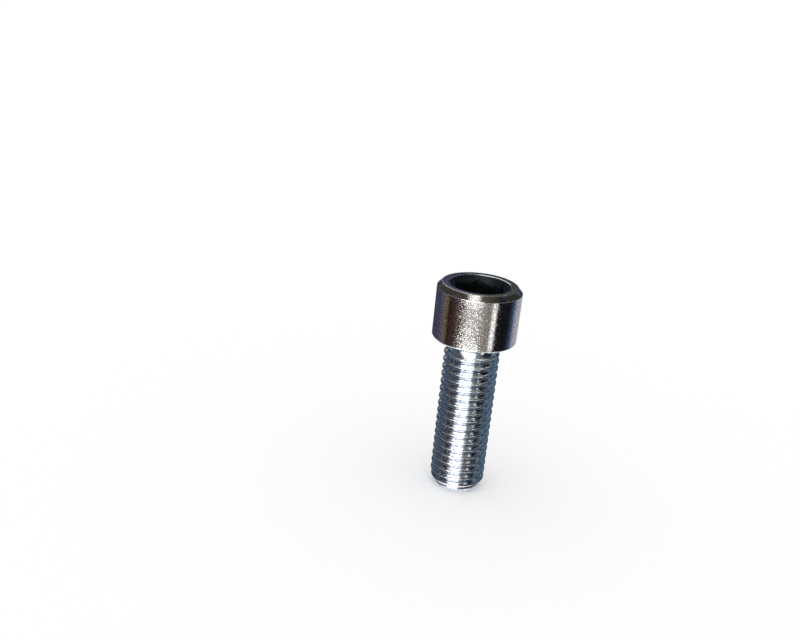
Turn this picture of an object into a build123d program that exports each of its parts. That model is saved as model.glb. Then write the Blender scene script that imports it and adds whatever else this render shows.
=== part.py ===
from build123d import *
from math import ceil, cos, radians, tan
import os

# Sizes in millimetres, degrees for angles. The origin is the middle of the bearing face under the head,
# with the head above it and the threaded shank below.

# Screw thread, right-hand, with flat crests and a vee groove between them
thread_diameter = 12.0
thread_pitch = 1.75
thread_depth = 0.46
crest_flat = 0.28
ridge_start_angle = 30.0

# Shank from the bearing face to the end face
shank_length = 35.0
neck_diameter = 11.2
neck_length = 2.2
runout_length = 1.4
end_diameter = 9.0
end_taper_angle = 35.0

# Head
head_diameter = 18.0
head_height = 12.0
head_top_chamfer = 1.0
head_foot_chamfer = 0.2
under_head_taper = 0.5

# Hexagon socket
hex_across_flats = 10.0
socket_depth = 6.0
mouth_diameter = 13.0
mouth_slope = 45.0

# Radii and depths that follow from the sizes above
crest_radius = thread_diameter / 2
groove_radius = crest_radius - thread_depth
flank_width = (thread_pitch - crest_flat) / 2
neck_radius = neck_diameter / 2
head_radius = head_diameter / 2
end_radius = end_diameter / 2
end_taper_length = (crest_radius - end_radius) / tan(radians(end_taper_angle))
thread_top = -neck_length - runout_length


def ridge_outline(base):
    """Radius and height of the ridge's corners over one pitch, from one groove's bottom to the next.

    The flanks run on past the crest by a quarter of its flat, and the shank's outer form trims them back.
    """
    spare_width = crest_flat / 4
    tall = crest_radius + spare_width * thread_depth / flank_width
    ridge_start = base + flank_width + spare_width
    ridge_end = base + thread_pitch - flank_width - spare_width
    return [
        (groove_radius, base),
        (tall, ridge_start),
        (tall, ridge_end),
        (groove_radius, base + thread_pitch),
    ]


def helix_turn(radius, height):
    """One right-hand turn of a helix that starts at the given height."""
    return Edge.make_helix(thread_pitch, thread_pitch, radius, center=(0, 0, height))


def ridged_rod(bottom, top):
    """A rod with the helical ridge all along it, longer than the span from bottom to top.

    Each turn is three helical strips. A helical ramp closes each end, with a flat step beside it.
    """
    turns = ceil((top - bottom) / thread_pitch) + 2
    start = bottom - thread_pitch
    faces = []
    for turn in range(turns):
        corners = ridge_outline(start + turn * thread_pitch)
        edges = [helix_turn(radius, height) for radius, height in corners]
        for lower, upper in zip(edges[:-1], edges[1:]):
            faces.append(Face.make_surface_from_curves(lower, upper))
    for height in (start, start + turns * thread_pitch):
        axis = Edge.make_line((0, 0, height), (0, 0, height + thread_pitch))
        faces.append(Face.make_surface_from_curves(axis, helix_turn(groove_radius, height)))
        step = [Vector(0, 0, height)]
        step += [Vector(radius, 0, z) for radius, z in ridge_outline(height)]
        step.append(Vector(0, 0, height + thread_pitch))
        faces.append(Face(Wire.make_polygon(step, close=True)))
    return Solid(Shell(faces))


def shank_form():
    """The solid of revolution that the ridge is trimmed to: tapered end, crests and run-out to the neck."""
    bottom = -shank_length
    points = [
        (0, bottom),
        (end_radius, bottom),
        (crest_radius, bottom + end_taper_length),
        (crest_radius, thread_top),
        (neck_radius, -neck_length),
        (0, -neck_length),
    ]
    return turned(points)


def turned(points):
    """A solid of revolution about Z from points of radius and height."""
    section = make_face(Polyline(*[(radius, 0, z) for radius, z in points], close=True))
    return revolve(section, Axis.Z)


def threaded_shank():
    """The thread trimmed to the shank's form, as one solid."""
    rod = Rot(0, 0, ridge_start_angle) * ridged_rod(-shank_length, -neck_length)
    return rod & shank_form()


def neck():
    """The plain neck, flared where it meets the head, over the cone on which the thread's groove runs out."""
    overlap = thread_depth / 4
    slope = (neck_radius - groove_radius) / runout_length
    points = [
        (0, thread_top - overlap / slope),
        (groove_radius - overlap, thread_top - overlap / slope),
        (neck_radius, -neck_length),
        (neck_radius, -under_head_taper),
        (neck_radius + under_head_taper, 0),
        (0, 0),
    ]
    return turned(points)


def head():
    """The round head, bevelled at its top edge and slightly at the edge of its bearing face."""
    blank = Pos(0, 0, head_height / 2) * Cylinder(head_radius, head_height)
    foot_rim = blank.edges().filter_by(GeomType.CIRCLE).sort_by(Axis.Z)[0]
    blank = chamfer(foot_rim, head_foot_chamfer)
    top_rim = blank.edges().filter_by(GeomType.CIRCLE).sort_by(Axis.Z)[-1]
    return chamfer(top_rim, head_top_chamfer)


def socket():
    """The flat-bottomed hexagon hole with its bevelled mouth, as a solid to cut away."""
    floor = head_height - socket_depth
    corner_radius = hex_across_flats / 2 / cos(radians(30))
    hexagon = RegularPolygon(corner_radius, 6, rotation=30)
    prism = Pos(0, 0, floor) * extrude(hexagon, socket_depth)
    mouth_radius = mouth_diameter / 2
    inner_radius = hex_across_flats * 0.4
    bevel_foot = head_height - (mouth_radius - inner_radius) * tan(radians(mouth_slope))
    bevel = turned([(0, bevel_foot), (inner_radius, bevel_foot), (mouth_radius, head_height), (0, head_height)])
    return prism + bevel


def cap_bolt():
    """The whole bolt, one solid."""
    drive_end = head() - socket()
    return drive_end + neck() + threaded_shank()


os.makedirs("parts", exist_ok=True)
bolt = cap_bolt()
export_step(bolt, "parts/cap_bolt.step")
print("cap_bolt", "volume", round(bolt.volume, 2), "faces", len(bolt.faces()), "valid", bolt.is_valid)
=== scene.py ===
import math

import bpy
import numpy as np
from mathutils import Matrix, Vector


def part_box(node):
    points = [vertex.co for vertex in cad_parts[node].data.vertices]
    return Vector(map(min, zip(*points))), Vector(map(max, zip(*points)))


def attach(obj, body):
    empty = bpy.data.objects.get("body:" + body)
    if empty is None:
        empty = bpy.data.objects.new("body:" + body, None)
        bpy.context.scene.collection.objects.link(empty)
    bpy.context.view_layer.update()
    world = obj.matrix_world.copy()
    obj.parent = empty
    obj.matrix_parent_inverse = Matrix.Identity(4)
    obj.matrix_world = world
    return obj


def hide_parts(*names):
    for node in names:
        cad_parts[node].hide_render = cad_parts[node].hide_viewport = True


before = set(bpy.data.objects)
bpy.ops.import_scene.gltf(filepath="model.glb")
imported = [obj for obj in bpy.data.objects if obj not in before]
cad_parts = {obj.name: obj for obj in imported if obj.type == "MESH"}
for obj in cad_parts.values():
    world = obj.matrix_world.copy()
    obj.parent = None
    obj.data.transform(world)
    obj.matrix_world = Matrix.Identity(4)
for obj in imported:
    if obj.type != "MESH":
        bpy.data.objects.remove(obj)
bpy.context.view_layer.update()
mm = 0.001

# Bolt, in millimetres and degrees. A softness is the width over which an edge is rounded, and a middle
# places one more row of points on a long plain stretch.
bolt = dict(
    columns=144,  # points round the bolt, a multiple of twelve so that each corner of the socket has one
    pitch=1.75,
    crestFlat=0.30,
    crestSoftness=0.18,
    rootRadius=0.25,
    flankAngle=30.0,
    crestAngle=30.0,  # where the ridge's middle stands half a pitch below the end face
    crestRows=(0.0, 0.05, 0.085, 0.12, 0.15, 0.18, 0.215, 0.255, 0.47),  # from the crest's middle
    valleyRows=(0.73, 0.79, 0.84),
    spareTurns=2,  # of the grid below the end face
    ringGap=0.01,  # points of the thread nearer to an end ring than this fall on it
    endRadius=4.5,
    endTaper=35.0,
    taperSoftness=0.06,
    endEdge=0.15,
    endRound=(0.2, 0.3),  # inward and upward place of the edge's round, as shares of endEdge
    endMiddle=2.2,  # from the axis
    poleRadius=0.02,
    neckRadius=5.6,
    neckLength=2.2,
    neckMiddle=1.4,  # below the bearing face
    runOut=1.3,
    fillSoftness=0.12,
    trimSlope=0.45,
    trimSoftness=0.08,
    cornerSize=0.6,
    cornerRows=8,
    bearingMiddle=7.6,  # from the axis
    footBevel=0.3,
    footSoftness=(0.06, 0.12),
    topBevel=1.0,
    topSoftness=0.10,
    rimSoftness=0.30,
    mouthRadius=6.5,
    acrossFlats=10.0,
    flatsSoftness=0.10,
    socketDepth=6.0,
    socketMiddle=2.5,  # above the floor
    floorSoftness=0.15,
    floorDrop=1.1,
    softRows=7,  # of points round each soft edge
)
low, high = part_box("cap_bolt")
headRadius, headTop, endHeight = high.x / mm, high.z / mm, low.z / mm
crestRadius = headRadius * 2 / 3
socketFloor = headTop - bolt["socketDepth"]
halfPitch = bolt["pitch"] / 2
flankLean = math.radians(bolt["flankAngle"])
rootTouch = bolt["rootRadius"] * math.cos(flankLean)  # from the valley's middle to where a flank begins


def softMin(a, b, width):
    # the smaller of two values, with a round change-over of that width
    share = np.clip(0.5 + 0.5 * (b - a) / width, 0, 1)
    return b + (a - b) * share - width * share * (1 - share)


def softMax(a, b, width):
    return -softMin(-a, -b, width)


def threadRadius(height, angle):
    # Distance along the axis from the nearest crest of a right-hand helix, then a flat crest, straight
    # flanks and a round valley. The run-out cone fills the groove near the neck, another cone takes the
    # crests down to the neck, and the tapered end trims them at the bottom.
    b = bolt
    crest = endHeight - halfPitch + b["pitch"] * (angle - math.radians(b["crestAngle"])) / (2 * math.pi)
    away = np.abs((height - crest + halfPitch) % b["pitch"] - halfPitch)
    slope = 1 / math.tan(flankLean)
    flank = softMax((away - b["crestFlat"] / 2) * slope, 0 * away, b["crestSoftness"])
    fromRoot = halfPitch - away
    grooveDepth = (halfPitch - rootTouch - b["crestFlat"] / 2) * slope
    grooveDepth += b["rootRadius"] * (1 - math.sin(flankLean))
    bowl = grooveDepth - b["rootRadius"] + np.sqrt(np.maximum(b["rootRadius"] ** 2 - fromRoot**2, 0))
    radius = crestRadius - np.where(fromRoot < rootTouch, bowl, flank)
    belowNeck = -b["neckLength"] - height
    fill = b["neckRadius"] - belowNeck * grooveDepth / b["runOut"]
    radius = softMax(radius, fill, b["fillSoftness"])
    trim = b["neckRadius"] + belowNeck * b["trimSlope"]
    radius = softMin(radius, trim, b["trimSoftness"])
    taper = b["endRadius"] + (height - endHeight) * math.tan(math.radians(b["endTaper"]))
    return softMin(radius, taper, b["taperSoftness"])


def hexRadius(angle):
    # The hexagon's radius: half the width across flats over the cosine of the angle from its nearest flat
    fromFlat = (angle + math.pi / 6) % (math.pi / 3) - math.pi / 6
    return bolt["acrossFlats"] / 2 / np.cos(fromFlat)


def softCorner(before, corner, after, size):
    # A quadratic curve round a corner of the section, from size before it to size after it
    ends = []
    for other in (before, after):
        length = np.hypot(other[0] - corner[0], other[1] - corner[1])
        share = np.minimum(size / length, 0.5)
        ends.append([c + (o - c) * share for c, o in zip(corner, other)])
    return [
        [(1 - t) ** 2 * s + 2 * t * (1 - t) * c + t**2 * e for s, c, e in zip(ends[0], corner, ends[1])]
        for t in np.linspace(0, 1, bolt["softRows"])
    ]


def section(points, angle):
    # A run of section corners, each (radius, height, softness), as rows of one point per column
    corners = [((r + 0 * angle, z + 0 * angle), soft) for r, z, soft in points]
    rows = []
    for i, (corner, soft) in enumerate(corners):
        if soft:
            rows += softCorner(corners[i - 1][0], corner, corners[i + 1][0], soft)
        else:
            rows.append(corner)
    return np.moveaxis(np.array(rows), 1, 2)


def endSection(angle):
    # The end face, out to the round edge that meets the taper
    b = bolt
    edge = b["endEdge"]
    inward, upward = b["endRound"]
    return section([
        (b["poleRadius"], endHeight, 0),
        (b["endMiddle"], endHeight, 0),
        (b["endRadius"] - edge, endHeight, 0),
        (b["endRadius"] - edge * inward, endHeight + edge * upward, 0),
    ], angle)


def headSection(angle):
    # The neck, its round corner, the bearing face, the head and the socket down to the hollow of its floor
    b = bolt
    hexagon = hexRadius(angle)
    mouth = headTop - (b["mouthRadius"] - hexagon)
    size = b["cornerSize"]
    corner = [
        (b["neckRadius"] + size * (1 - math.cos(a)), -size * (1 - math.sin(a)), 0)
        for a in np.linspace(0, math.pi / 2, b["cornerRows"])
    ]
    return section([
        (b["neckRadius"], -b["neckMiddle"], 0),
        *corner,
        (b["bearingMiddle"], 0.0, 0),
        (headRadius - b["footBevel"], 0.0, b["footSoftness"][0]),
        (headRadius, b["footBevel"], b["footSoftness"][1]),
        (headRadius, headTop / 2, 0),
        (headRadius, headTop - b["topBevel"], b["topSoftness"]),
        (headRadius - b["topBevel"], headTop, b["topSoftness"]),
        (b["mouthRadius"], headTop, b["rimSoftness"]),
        (hexagon, mouth, b["flatsSoftness"]),
        (hexagon, socketFloor + b["socketMiddle"], 0),
        (hexagon, socketFloor, b["floorSoftness"]),
        (hexagon / 2, socketFloor - b["floorDrop"] / 2, 0),
        (b["poleRadius"], socketFloor - b["floorDrop"], 0),
    ], angle)


def threadMesh(angle):
    # A grid whose rows climb one pitch a turn, so each row keeps one place on the ridge's section. Past
    # the thread's ends its points fall on a level ring. Gives the points as radius and height, their
    # angles, the cells, and the points of the low and the high ring.
    b = bolt
    n = len(angle)
    lowRing, highRing = endHeight + b["endEdge"], -b["neckLength"]
    side = np.array([*b["crestRows"], halfPitch - rootTouch, *b["valleyRows"], halfPitch])
    offsets = np.concatenate([-side[:0:-1], side[:-1]])
    perTurn = len(offsets)
    turns = math.ceil((highRing - lowRing) / b["pitch"]) + b["spareTurns"] + 1
    start = endHeight - (b["spareTurns"] + 0.5) * b["pitch"] - b["pitch"] * b["crestAngle"] / 360
    rowHeight = (start + np.arange(turns)[:, None] * b["pitch"] + offsets).ravel()
    height = rowHeight[:, None] + b["pitch"] * angle / (2 * math.pi)
    radius = threadRadius(height, angle + 0 * height)
    below = height <= lowRing + b["ringGap"]
    above = height >= highRing - b["ringGap"]
    inside = ~(below | above)
    count = int(inside.sum())
    lowIds, highIds = count + np.arange(n), count + n + np.arange(n)
    ids = np.zeros(height.shape, int)
    ids[inside] = np.arange(count)
    ids = np.where(below, lowIds, np.where(above, highIds, ids))
    points = [np.stack([radius, height], -1)[inside]]
    angles = [np.broadcast_to(angle, height.shape)[inside]]
    for level in (lowRing, highRing):
        ring = level + 0 * angle
        points.append(np.stack([threadRadius(ring, angle), ring], -1))
        angles.append(angle)
    nextColumn = np.roll(ids, -1, axis=1)
    nextColumn[:-perTurn, -1] = ids[perTurn:, 0]  # past the seam the same row stands one pitch higher
    nextColumn[-perTurn:, -1] = highIds[0]
    cells = [(ids[:-1], nextColumn[:-1], nextColumn[1:], ids[1:])]
    return points, angles, cells, lowIds, highIds


def buildBolt():
    # The thread's grid, then rings of section points that close it below and above, and a fan of
    # triangles round the middle of the end face and of the socket's floor
    n = bolt["columns"]
    angle = np.arange(n) * 2 * math.pi / n
    points, angles, cells, lowIds, highIds = threadMesh(angle)
    count = firstRing = sum(len(p) for p in points)
    for rows, before, after in ((endSection(angle), [], [lowIds]), (headSection(angle), [highIds], [])):
        points.append(rows.reshape(-1, 2))
        angles.append(np.broadcast_to(angle, rows.shape[:2]).ravel())
        grid = count + np.arange(len(rows) * n).reshape(-1, n)
        count += grid.size
        chain = np.vstack([*before, grid, *after])
        turned = np.roll(chain, -1, axis=1)
        cells.append((chain[:-1], turned[:-1], turned[1:], chain[1:]))
    radius, height = np.concatenate(points).T
    around = np.concatenate(angles)
    spots = np.stack([radius * np.cos(around), radius * np.sin(around), height], -1)
    poles = [[0, 0, endHeight], [0, 0, socketFloor - bolt["floorDrop"]]]
    corners = np.concatenate([np.stack([c.ravel() for c in cell], -1) for cell in cells])
    first, last = firstRing + np.arange(n), count - n + np.arange(n)
    triangles = np.concatenate([
        corners[:, [0, 1, 2]],
        corners[:, [0, 2, 3]],
        np.stack([np.full(n, count), np.roll(first, -1), first], -1),
        np.stack([np.full(n, count + 1), last, np.roll(last, -1)], -1),
    ])
    a, b, c = triangles.T
    triangles = triangles[(a != b) & (b != c) & (a != c)]
    return np.concatenate([spots, poles]) * mm, triangles


def makePiece(name, points, faces):
    mesh = bpy.data.meshes.new(name)
    mesh.from_pydata(points, [], faces)
    piece = bpy.data.objects.new(name, mesh)
    bpy.context.scene.collection.objects.link(piece)
    return piece


spots, triangles = buildBolt()
capBolt = makePiece("capBolt", spots.tolist(), triangles.tolist())
capBolt.data.validate()
capBolt.data.shade_smooth()
print("bolt mesh", len(spots), "points", len(triangles), "triangles")


# Shader helpers
def srgb(r, g, b):
    # display values from 0 to 255 as the linear colour that Blender takes
    c = np.array([r, g, b]) / 255
    return tuple(np.where(c <= 0.04045, c / 12.92, ((c + 0.055) / 1.055) ** 2.4)) + (1.0,)


def addNode(tree, kind, **values):
    node = tree.nodes.new(kind)
    for key, value in values.items():
        setattr(node, key, value)
    return node


def link(tree, value, socket):
    # joins another node's output to a socket, or sets the socket to a constant
    if hasattr(value, "links"):
        tree.links.new(value, socket)
    else:
        socket.default_value = value


def calculate(tree, operation, *inputs):
    node = addNode(tree, "ShaderNodeMath", operation=operation)
    for value, socket in zip(inputs, node.inputs):
        link(tree, value, socket)
    return node.outputs[0]


def mixColours(tree, share, a, b, blend="MIX"):
    node = addNode(tree, "ShaderNodeMix", data_type="RGBA", blend_type=blend)
    link(tree, share, node.inputs[0])
    link(tree, a, node.inputs[6])
    link(tree, b, node.inputs[7])
    return node.outputs[2]


def colourRamp(tree, value, stops):
    node = addNode(tree, "ShaderNodeValToRGB")
    while len(node.color_ramp.elements) < len(stops):
        node.color_ramp.elements.new(0.5)
    for element, (position, colour) in zip(node.color_ramp.elements, sorted(stops)):
        element.position = position
        element.color = colour
    link(tree, value, node.inputs[0])
    return node.outputs[0]


def mapRange(tree, value, fromRange=(0.0, 1.0), toRange=(0.0, 1.0), kind="LINEAR"):
    node = addNode(tree, "ShaderNodeMapRange", interpolation_type=kind)
    ends = ("From Min", "From Max", "To Min", "To Max")
    link(tree, value, node.inputs["Value"])
    for end, amount in zip(ends, (*fromRange, *toRange)):
        link(tree, amount, node.inputs[end])
    return node.outputs[0]


def smoothStep(tree, value, span):
    return mapRange(tree, value, span, kind="SMOOTHSTEP")


# Plating. The grain's height and the pits' depth are in metres.
headFinish = dict(
    grainPerMetre=3800.0,
    height=0.0000055,
    pitDepth=0.0000045,
    dark=srgb(136, 133, 132),
    light=srgb(255, 254, 252),
    rough=(0.06, 0.12),
)
threadFinish = dict(
    grainPerMetre=2600.0,
    height=0.000007,
    pitDepth=0.000003,
    dark=srgb(166, 171, 178),
    light=srgb(244, 247, 250),
    rough=(0.08, 0.18),
    # painted shade: a colour multiplied into the thread's valleys, fading out between these radii from the
    # axis
    valleyShade=srgb(204, 208, 216),
    valleyShadeRadius=(4.95, 5.5),
)
# The socket's plating: its dark colour is painted shade for the recess, and its finish is rougher.
socketShadeFinish = dict(
    grainPerMetre=2000.0,
    height=0.00001,
    pitDepth=0.0,
    dark=srgb(50, 57, 60),
    light=srgb(72, 81, 85),
    rough=(0.46, 0.60),
)
grainNoise = dict(
    detail=4.0,
    roughness=0.7,
    grainSpan=(0.34, 0.66),
    cloudScale=0.15,  # of the grain's
    cloudDetail=3.0,
    cloudSpan=(0.3, 0.7),
    pitShift=(0.3, 0.7, 0.5),
    pitDetail=1.0,
    pitSpan=(0.56, 0.68),
)
finishParts = dict(
    threadTop=-0.3,  # the thread's finish below this height
    socketFrom=2.0,  # the socket's finish, darkened as painted shade, above this height, as far out as the mouth less its edge
    mouthEdge=0.1,
)


def makeGrainGroup():
    # Orange peel of the plating as fine noise, little pits where a second noise is high, and slow clouds
    g = grainNoise
    group = bpy.data.node_groups.new("platingGrain", "ShaderNodeTree")
    face = group.interface
    for name in ("grainPerMetre", "height", "pitDepth"):
        face.new_socket(name, in_out="INPUT", socket_type="NodeSocketFloat")
    for name in ("grain", "cloud"):
        face.new_socket(name, in_out="OUTPUT", socket_type="NodeSocketFloat")
    face.new_socket("normal", in_out="OUTPUT", socket_type="NodeSocketVector")
    inside = addNode(group, "NodeGroupInput").outputs
    outside = addNode(group, "NodeGroupOutput").inputs
    place = addNode(group, "ShaderNodeTexCoord").outputs["Object"]
    moved = addNode(group, "ShaderNodeVectorMath", operation="ADD")
    link(group, place, moved.inputs[0])
    link(group, g["pitShift"], moved.inputs[1])

    def noise(where, scale, detail, roughness=0.5):
        node = addNode(group, "ShaderNodeTexNoise")
        link(group, where, node.inputs["Vector"])
        link(group, scale, node.inputs["Scale"])
        link(group, detail, node.inputs["Detail"])
        link(group, roughness, node.inputs["Roughness"])
        return node.outputs[0]

    fine = noise(place, inside["grainPerMetre"], g["detail"], g["roughness"])
    cloudScale = calculate(group, "MULTIPLY", inside["grainPerMetre"], g["cloudScale"])
    slow = noise(place, cloudScale, g["cloudDetail"])
    second = noise(moved.outputs[0], inside["grainPerMetre"], g["pitDetail"])
    pits = calculate(group, "MULTIPLY", smoothStep(group, second, g["pitSpan"]), inside["pitDepth"])
    peel = calculate(group, "MULTIPLY", fine, inside["height"])
    bump = addNode(group, "ShaderNodeBump")
    link(group, 1.0, bump.inputs["Distance"])
    link(group, calculate(group, "SUBTRACT", peel, pits), bump.inputs["Height"])
    link(group, smoothStep(group, fine, g["grainSpan"]), outside["grain"])
    link(group, smoothStep(group, slow, g["cloudSpan"]), outside["cloud"])
    link(group, bump.outputs[0], outside["normal"])
    return group


def makePlating(name, finish):
    material = bpy.data.materials.new(name)
    material.use_nodes = True
    tree = material.node_tree
    shader = tree.nodes["Principled BSDF"].inputs
    link(tree, 1.0, shader["Metallic"])
    grain = addNode(tree, "ShaderNodeGroup", node_tree=grainGroup)
    for key in ("grainPerMetre", "height", "pitDepth"):
        link(tree, finish[key], grain.inputs[key])
    colour = mixColours(tree, grain.outputs["grain"], finish["dark"], finish["light"])
    if "valleyShade" in finish:  # painted shade: darker in the thread's valleys, by the distance from the axis
        place = addNode(tree, "ShaderNodeTexCoord")
        flat = addNode(tree, "ShaderNodeVectorMath", operation="MULTIPLY")
        link(tree, place.outputs["Object"], flat.inputs[0])
        link(tree, (1 / mm, 1 / mm, 0), flat.inputs[1])
        reach = addNode(tree, "ShaderNodeVectorMath", operation="LENGTH")
        link(tree, flat.outputs[0], reach.inputs[0])
        crest = smoothStep(tree, reach.outputs["Value"], finish["valleyShadeRadius"])
        shade = mixColours(tree, crest, finish["valleyShade"], (1.0, 1.0, 1.0, 1.0))
        colour = mixColours(tree, 1.0, colour, shade, "MULTIPLY")
    link(tree, colour, shader["Base Color"])
    link(tree, mapRange(tree, grain.outputs["cloud"], toRange=finish["rough"]), shader["Roughness"])
    link(tree, grain.outputs["normal"], shader["Normal"])
    return material


grainGroup = makeGrainGroup()
capBolt.data.materials.append(makePlating("headPlating", headFinish))
capBolt.data.materials.append(makePlating("threadPlating", threadFinish))
capBolt.data.materials.append(makePlating("socketPlatingPaintedShade", socketShadeFinish))
x, y, z = spots[triangles].mean(axis=1).T / mm
socketReach = bolt["mouthRadius"] - finishParts["mouthEdge"]
slots = np.where(z < finishParts["threadTop"], 1, 0)
# the socket's darker plating, painted shade for the recess, from the mouth inward
slots = np.where((np.hypot(x, y) < socketReach) & (z > finishParts["socketFrom"]), 2, slots)
capBolt.data.polygons.foreach_set("material_index", slots.astype(np.int32))
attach(capBolt, "root")
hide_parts("cap_bolt")
print("plating done")

# Studio. The camera's place and the card are in millimetres, the floor and the nearest clip in metres.
studio = dict(
    floorSize=3.0,
    floorColour=srgb(255, 255, 255),
    floorRoughness=0.9,
    camera=(-15.98, -176.87, 67.71),
    cameraRight=(0.99549, 0.03288, 0.08894),
    cameraUp=(-0.09482, 0.34517, 0.93374),
    cameraBack=(0.0, -0.93796, 0.34673),
    lens=40.05,
    sensor=36.0,
    nearest=0.01,
    plainLight=1.0,
)


def makeFloor():
    half, z = studio["floorSize"] / 2, endHeight * mm
    corners = [(-half, -half, z), (half, -half, z), (half, half, z), (-half, half, z)]
    floor = makePiece("floor", corners, [(0, 1, 2, 3)])
    material = bpy.data.materials.new("floorPaper")
    material.use_nodes = True
    shader = material.node_tree.nodes["Principled BSDF"].inputs
    shader["Base Color"].default_value = studio["floorColour"]
    shader["Roughness"].default_value = studio["floorRoughness"]
    shader["Specular IOR Level"].default_value = 0.0
    floor.data.materials.append(material)
    floor.visible_glossy = False


# What the plating mirrors. The rings are colours by bearing from the camera's side, in degrees, and the
# skies are colours from left to right. Levels are heights of the mirror ray's direction, up to 1 overhead.
mirrored = dict(
    headRing=[
        (-180, srgb(70, 72, 96)),
        (-127, srgb(72, 72, 94)),
        (-108, srgb(98, 93, 108)),
        (-100, srgb(122, 110, 90)),
        (-90, srgb(110, 96, 76)),
        (-85, srgb(44, 30, 24)),
        (-62, srgb(76, 56, 48)),
        (-49, srgb(92, 74, 66)),
        (-42, srgb(106, 94, 88)),
        (-35, srgb(176, 172, 168)),
        (-26, srgb(206, 204, 202)),
        (-14, srgb(214, 212, 210)),
        (4, srgb(184, 181, 177)),
        (14, srgb(166, 160, 150)),
        (33, srgb(150, 138, 130)),
        (38, srgb(255, 255, 255)),
        (47, srgb(255, 255, 255)),
        (51, srgb(28, 26, 30)),
        (90, srgb(26, 27, 32)),
        (102, srgb(56, 68, 92)),
        (112, srgb(104, 130, 160)),
        (118, srgb(176, 174, 188)),
        (160, srgb(200, 198, 208)),
    ],
    threadRing=[
        (-180, srgb(130, 138, 148)),
        (-140, srgb(112, 126, 142)),
        (-110, srgb(64, 82, 100)),
        (-76, srgb(50, 62, 74)),
        (-62, srgb(84, 96, 110)),
        (-52, srgb(160, 170, 186)),
        (-44, srgb(255, 255, 255)),
        (4, srgb(255, 255, 255)),
        (14, srgb(144, 158, 166)),
        (24, srgb(102, 116, 124)),
        (37, srgb(78, 90, 96)),
        (46, srgb(34, 42, 48)),
        (78, srgb(22, 28, 36)),
        (92, srgb(44, 56, 68)),
        (104, srgb(98, 118, 136)),
        (114, srgb(100, 120, 136)),
        (126, srgb(46, 56, 66)),
        (140, srgb(66, 76, 88)),
        (162, srgb(170, 178, 190)),
    ],
    whiteSpan=(0.85, 1.0),  # the greys that count as a ramp's white parts
    headBoost=1.6,
    skyBoost=1.4,
    threadLift=(0.35, 1.7),  # up to this grey the thread's ring is this much brighter
    threadBoost=(4.2, 6.5),  # how much brighter its white is, above and below the head's level
    boostLevel=(-0.30, -0.45),
    headLevel=-0.342,
    headBand=(0.085, 0.125),  # the head's ring gives way to the thread's this far from its level
    ground=(1.5, 1.5, 1.55, 1.0),
    groundLevel=(-0.74, -0.84),
    crestShine=srgb(176, 184, 190),
    shineLevel=(-0.12, -0.04),
    shineFrom=(0.75, 0.95),  # bearings to either side, in radians
    shineTo=(1.85, 1.65),
    farWall=srgb(58, 58, 64),
    farLevel=(-0.14, -0.04),
    farFrom=(2.1, 2.4),
    backSky=[
        (-1.0, srgb(70, 68, 66)),
        (-0.56, srgb(72, 68, 60)),
        (-0.48, srgb(84, 112, 140)),
        (-0.36, srgb(74, 80, 100)),
        (-0.30, srgb(255, 255, 255)),
        (0.06, srgb(255, 255, 255)),
        (0.14, srgb(90, 98, 96)),
        (0.36, srgb(40, 46, 48)),
        (0.44, srgb(84, 112, 140)),
        (0.62, srgb(96, 124, 150)),
        (0.67, srgb(60, 60, 50)),
        (1.0, srgb(50, 50, 50)),
    ],
    frontSky=[
        (-1.0, srgb(66, 62, 70)),
        (-0.62, srgb(84, 78, 70)),
        (-0.45, srgb(72, 58, 50)),
        (-0.34, srgb(120, 112, 104)),
        (-0.28, srgb(255, 255, 255)),
        (0.0, srgb(255, 255, 255)),
        (0.06, srgb(96, 92, 78)),
        (0.45, srgb(78, 74, 58)),
        (0.62, srgb(36, 36, 38)),
        (1.0, srgb(60, 66, 70)),
    ],
    backFrom=(0.02, 0.16),
    skyLevel=(0.08, 0.34),
)


def brighten(tree, colour, boost):
    # raises a ramp's white parts above white
    white = calculate(tree, "MULTIPLY", smoothStep(tree, colour, mirrored["whiteSpan"]), boost - 1)
    return mixColours(tree, 1.0, colour, calculate(tree, "ADD", white, 1.0), "MULTIPLY")


def spreadRamp(tree, value, reach, stops):
    # a colour ramp by a value from -reach to reach
    share = calculate(tree, "ADD", calculate(tree, "DIVIDE", value, 2 * reach), 0.5)
    return colourRamp(tree, share, [(position / (2 * reach) + 0.5, colour) for position, colour in stops])


def ringRamp(tree, bearing, stops):
    return spreadRamp(tree, bearing, math.pi, [(math.radians(degrees), colour) for degrees, colour in stops])


def makeThreadRing(tree, bearing, z):
    # The thread's ring, made brighter the whiter it is, with a white ground under it
    m = mirrored
    ring = ringRamp(tree, bearing, m["threadRing"])
    grey = addNode(tree, "ShaderNodeRGBToBW")
    link(tree, ring, grey.inputs[0])
    above, below = m["threadBoost"]
    fromGrey, least = m["threadLift"]
    more = calculate(tree, "MULTIPLY", smoothStep(tree, z, m["boostLevel"]), below - above)
    most = calculate(tree, "ADD", more, above)
    lift = mapRange(tree, grey.outputs[0], (fromGrey, 1.0), (least, most))
    ring = mixColours(tree, 1.0, ring, lift, "MULTIPLY")
    return mixColours(tree, smoothStep(tree, z, m["groundLevel"]), ring, m["ground"])


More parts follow.
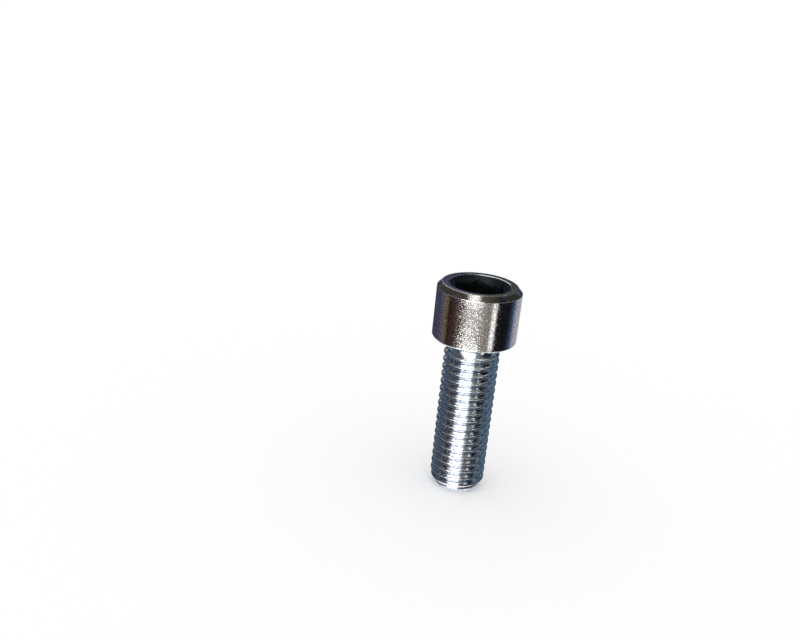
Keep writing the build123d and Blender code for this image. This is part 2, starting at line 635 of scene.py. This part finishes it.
def makeWorld():
    # Plain white light for everything but the plating's mirror rays. Those meet a ring of coloured
    # bands round the bolt, one for the level of the head and one for the thread's flanks, a shine at
    # both sides and a dark far wall near the horizon, and overhead a strip light between darker walls.
    m = mirrored
    world = bpy.data.worlds.new("studio")
    bpy.context.scene.world = world
    world.use_nodes = True
    tree = world.node_tree
    background = tree.nodes["Background"].inputs
    place = addNode(tree, "ShaderNodeTexCoord")
    split = addNode(tree, "ShaderNodeSeparateXYZ")
    link(tree, place.outputs["Generated"], split.inputs[0])
    x, y, z = split.outputs
    bearing = calculate(tree, "ARCTAN2", x, calculate(tree, "MULTIPLY", y, -1.0))
    side = calculate(tree, "ABSOLUTE", bearing)
    headRing = brighten(tree, ringRamp(tree, bearing, m["headRing"]), m["headBoost"])
    threadRing = makeThreadRing(tree, bearing, z)
    fromHead = calculate(tree, "ABSOLUTE", calculate(tree, "SUBTRACT", z, m["headLevel"]))
    ring = mixColours(tree, smoothStep(tree, fromHead, m["headBand"]), headRing, threadRing)
    shine = smoothStep(tree, z, m["shineLevel"])
    shine = calculate(tree, "MULTIPLY", shine, smoothStep(tree, side, m["shineFrom"]))
    shine = calculate(tree, "MULTIPLY", shine, smoothStep(tree, side, m["shineTo"]))
    ring = mixColours(tree, shine, ring, m["crestShine"])
    far = calculate(
        tree, "MULTIPLY", smoothStep(tree, z, m["farLevel"]), smoothStep(tree, side, m["farFrom"])
    )
    ring = mixColours(tree, far, ring, m["farWall"])
    frontSky = brighten(tree, spreadRamp(tree, x, 1.0, m["frontSky"]), m["skyBoost"])
    backSky = spreadRamp(tree, x, 1.0, m["backSky"])
    sky = mixColours(tree, smoothStep(tree, y, m["backFrom"]), frontSky, backSky)
    mirror = mixColours(tree, smoothStep(tree, z, m["skyLevel"]), ring, sky)
    rays = addNode(tree, "ShaderNodeLightPath")
    final = mixColours(tree, rays.outputs["Is Glossy Ray"], (1.0, 1.0, 1.0, 1.0), mirror)
    link(tree, final, background["Color"])
    link(tree, studio["plainLight"], background["Strength"])
    world.cycles.sampling_method = "NONE"


card = dict(
    left=-14.0,
    right=24.0,
    bottom=20.0,
    top=34.0,
    back=45.0,
    colourSpan=(-10.0, 16.0),
    nearRim=[
        (0.0, srgb(96, 92, 128)),
        (0.35, srgb(110, 104, 130)),
        (0.5, srgb(120, 120, 112)),
        (0.62, srgb(104, 104, 84)),
        (1.0, srgb(84, 80, 56)),
    ],
    farRim=[
        (0.0, srgb(92, 86, 116)),
        (0.3, srgb(56, 58, 88)),
        (0.6, srgb(46, 54, 84)),
        (1.0, srgb(70, 84, 84)),
    ],
    nearFrom=(27.0, 29.0),
)


def makeCard():
    # An upright card behind the bolt that only the plating sees, mirrored in the ring on top of the head.
    # The ring's near side mirrors the card's upper part.
    left, right, bottom, top, back = (card[key] * mm for key in ("left", "right", "bottom", "top", "back"))
    corners = [(left, back, bottom), (right, back, bottom), (right, back, top), (left, back, top)]
    piece = makePiece("backCard", corners, [(0, 1, 2, 3)])
    material = bpy.data.materials.new("cardColours")
    material.use_nodes = True
    tree = material.node_tree
    tree.nodes.remove(tree.nodes["Principled BSDF"])
    place = addNode(tree, "ShaderNodeTexCoord")
    split = addNode(tree, "ShaderNodeSeparateXYZ")
    link(tree, place.outputs["Object"], split.inputs[0])
    x, _, z = split.outputs
    across = mapRange(tree, x, [edge * mm for edge in card["colourSpan"]])
    nearRim = colourRamp(tree, across, card["nearRim"])
    farRim = colourRamp(tree, across, card["farRim"])
    near = smoothStep(tree, z, [edge * mm for edge in card["nearFrom"]])
    glow = addNode(tree, "ShaderNodeEmission")
    link(tree, mixColours(tree, near, farRim, nearRim), glow.inputs["Color"])
    link(tree, glow.outputs[0], tree.nodes["Material Output"].inputs["Surface"])
    piece.data.materials.append(material)
    piece.visible_camera = piece.visible_diffuse = piece.visible_shadow = False
    piece.visible_transmission = False


def makeCamera():
    data = bpy.data.cameras.new("camera")
    camera = bpy.data.objects.new("camera", data)
    bpy.context.scene.collection.objects.link(camera)
    data.lens = studio["lens"]
    data.sensor_width = studio["sensor"]
    data.clip_start = studio["nearest"]
    axes = (studio["cameraRight"], studio["cameraUp"], studio["cameraBack"])
    turned = Matrix(axes).transposed().to_4x4()
    camera.matrix_world = Matrix.Translation(Vector(studio["camera"]) * mm) @ turned
    bpy.context.scene.camera = camera


makeFloor()
makeWorld()
makeCard()
makeCamera()
bpy.context.scene.view_settings.view_transform = "Standard"
print("studio done")
